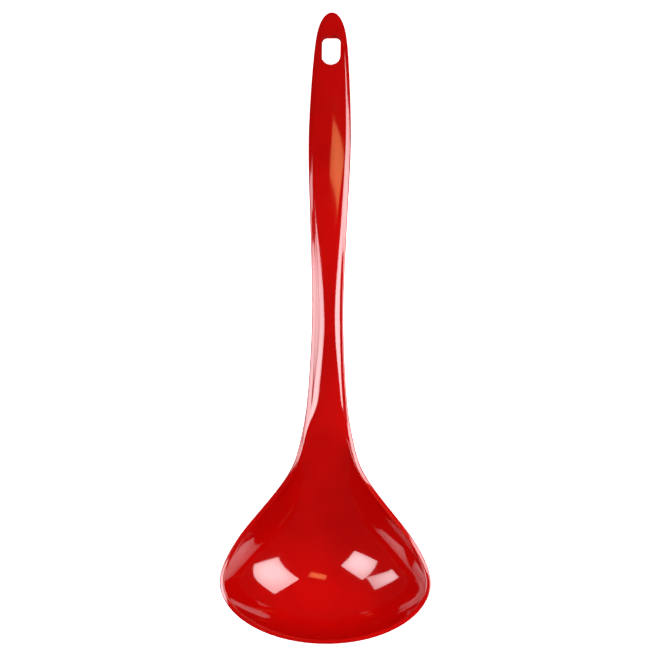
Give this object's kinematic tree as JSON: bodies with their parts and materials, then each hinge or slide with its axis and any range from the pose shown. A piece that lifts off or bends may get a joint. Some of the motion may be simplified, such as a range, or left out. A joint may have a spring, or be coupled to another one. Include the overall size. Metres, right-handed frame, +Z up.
{
  "type": "soup ladle",
  "caption": "Glossy red soup ladle moulded in one piece, with a wide drop-shaped bowl, a long crowned handle and a hanging slot at its end.",
  "frame": {"origin": "middle of the footprint, on the table that the ladle rests on with the bowl open upwards", "axes": "+Y from the bowl towards the end of the handle, +X across the bowl, +Z up out of the table"},
  "size_m": [0.0996, 0.3, 0.0325],
  "materials": {
    "red_melamine": "high gloss as moulded, solid red all through"
  },
  "bodies": {
    "root": {"bowl": "red_melamine", "neck": "red_melamine", "handle": "red_melamine", "hanging_eye": "red_melamine"}
  },
  "joints": []
}
